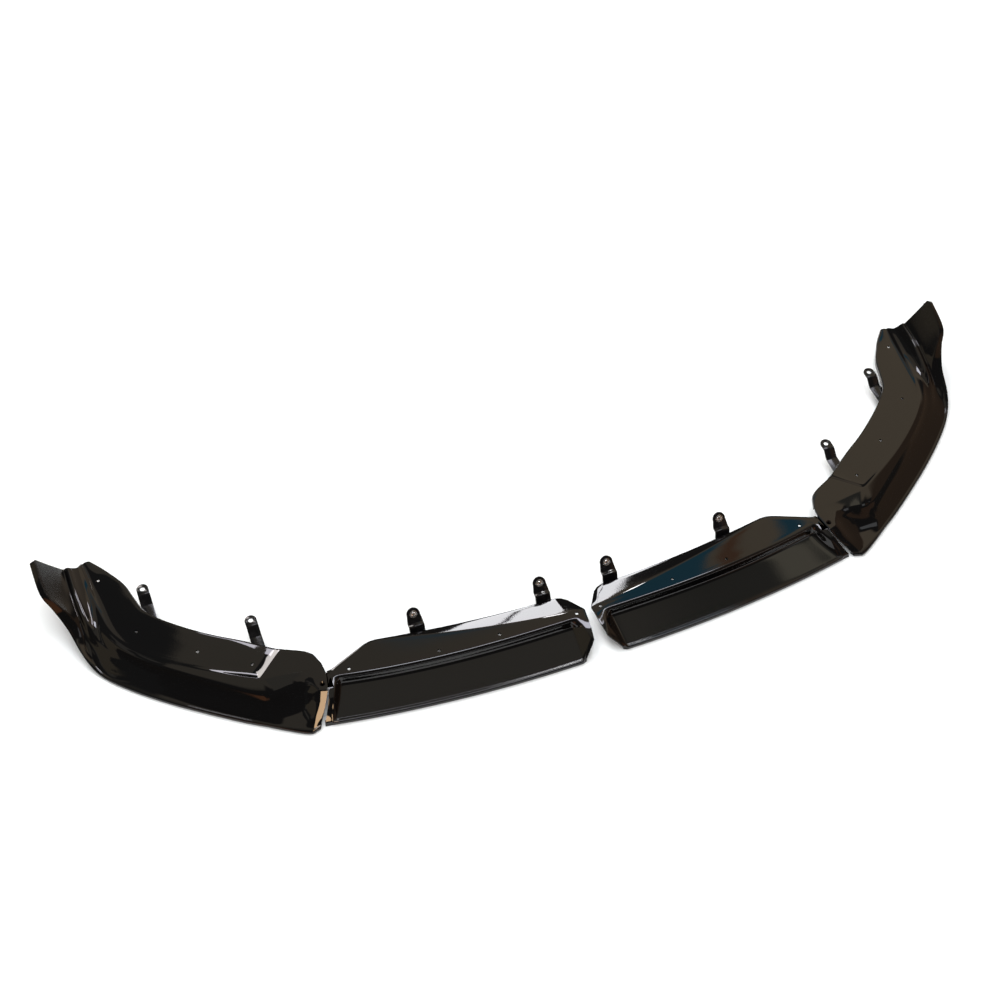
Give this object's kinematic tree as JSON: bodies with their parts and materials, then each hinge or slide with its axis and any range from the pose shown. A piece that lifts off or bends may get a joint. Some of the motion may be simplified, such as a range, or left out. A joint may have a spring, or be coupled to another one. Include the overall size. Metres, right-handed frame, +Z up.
{
  "type": "front splitter lip",
  "caption": "Low front bumper lip in thin moulded shells with a tray, decks, upturned end fins and rear mounting tabs.",
  "frame": {"origin": "middle of the lower edge's footprint: the middle plane between the centre shells, half way in depth, on the ground", "axes": "+X to the right across the car, +Y back towards the car, +Z up"},
  "size_m": [1.8566, 0.5116, 0.104],
  "materials": {
    "gloss_black": "gloss",
    "tab_black": "gloss",
    "zinc_steel": "satin"
  },
  "bodies": {
    "root": {"shell_outer_left": "gloss_black", "shell_centre_left": "gloss_black", "tab_long_outer_left": "tab_black", "tab_long_inner_left": "tab_black", "tab_cranked_outer_left": "tab_black", "tab_cranked_inner_left": "tab_black", "cap_screw_outer_left": "zinc_steel", "cap_screw_inner_left": "zinc_steel", "boss_screws_outer_left": "zinc_steel", "boss_screws_centre_left": "zinc_steel", "shell_outer_right": "gloss_black", "shell_centre_right": "gloss_black", "tab_long_outer_right": "tab_black", "tab_long_inner_right": "tab_black", "tab_cranked_outer_right": "tab_black", "tab_cranked_inner_right": "tab_black", "cap_screw_outer_right": "zinc_steel", "cap_screw_inner_right": "zinc_steel", "boss_screws_outer_right": "zinc_steel", "boss_screws_centre_right": "zinc_steel"}
  },
  "joints": []
}
